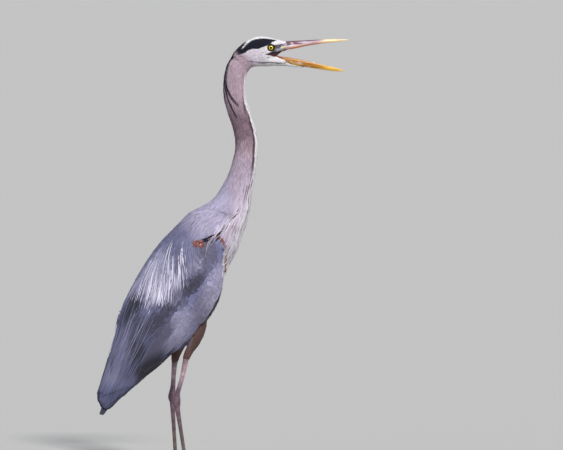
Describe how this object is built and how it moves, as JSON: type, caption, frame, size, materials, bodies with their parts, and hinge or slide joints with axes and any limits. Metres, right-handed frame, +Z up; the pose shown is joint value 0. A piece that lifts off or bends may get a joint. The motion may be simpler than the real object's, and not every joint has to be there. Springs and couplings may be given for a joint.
{
  "type": "great blue heron model",
  "caption": "Life-size still model of a wading heron standing upright on both legs with its neck raised, its wings folded and its long bill open.",
  "frame": {"origin": "on the floor, under the middle of the bird's bounding box", "axes": "+X is the way the bird faces, +Y is its left side, +Z is up"},
  "size_m": [0.5741, 0.192, 1.0209],
  "materials": {
    "face_plumage": "white face plumage",
    "neck_plumage": "mauve-grey neck plumage",
    "body_plumage": "slate body plumage",
    "back_plumes": "silvery blue-grey plumes",
    "wing_plumage": "grey-blue wing coverts",
    "flight_feathers": "blackish slate flight feathers",
    "breast_plumes": "whitish breast plumes",
    "crest": "black crest plumes",
    "thigh_plumage": "chestnut thigh plumage",
    "upper_horn": "dusky pink horn",
    "lower_horn": "orange-yellow horn",
    "tongue": "moist pink",
    "eye": "glossy yellow and black",
    "leg_skin": "scaly grey-brown skin",
    "claw": "blackish horn"
  },
  "bodies": {
    "root": {"head": "face_plumage", "jaw": "face_plumage", "bill_upper": "upper_horn", "bill_lower": "lower_horn", "tongue": "tongue", "eye_left": "eye", "eye_right": "eye", "crest_plume_long": "crest", "crest_plume_short": "crest", "neck_upper": "neck_plumage", "neck_middle": "neck_plumage", "neck_lower": "neck_plumage", "trunk": "body_plumage", "breast_plumes": "breast_plumes", "mantle": "back_plumes", "wing_left": "wing_plumage", "wing_right": "wing_plumage", "primaries_left": "flight_feathers", "primaries_right": "flight_feathers", "tail": "flight_feathers", "undertail": "breast_plumes", "thigh_left": "thigh_plumage", "shank_left": "leg_skin", "tarsus_left": "leg_skin", "foot_left": "leg_skin", "claw_left_middle": "claw", "claw_left_inner": "claw", "claw_left_outer": "claw", "claw_left_hind": "claw", "thigh_right": "thigh_plumage", "shank_right": "leg_skin", "tarsus_right": "leg_skin", "foot_right": "leg_skin", "claw_right_middle": "claw", "claw_right_inner": "claw", "claw_right_outer": "claw", "claw_right_hind": "claw"}
  },
  "joints": []
}
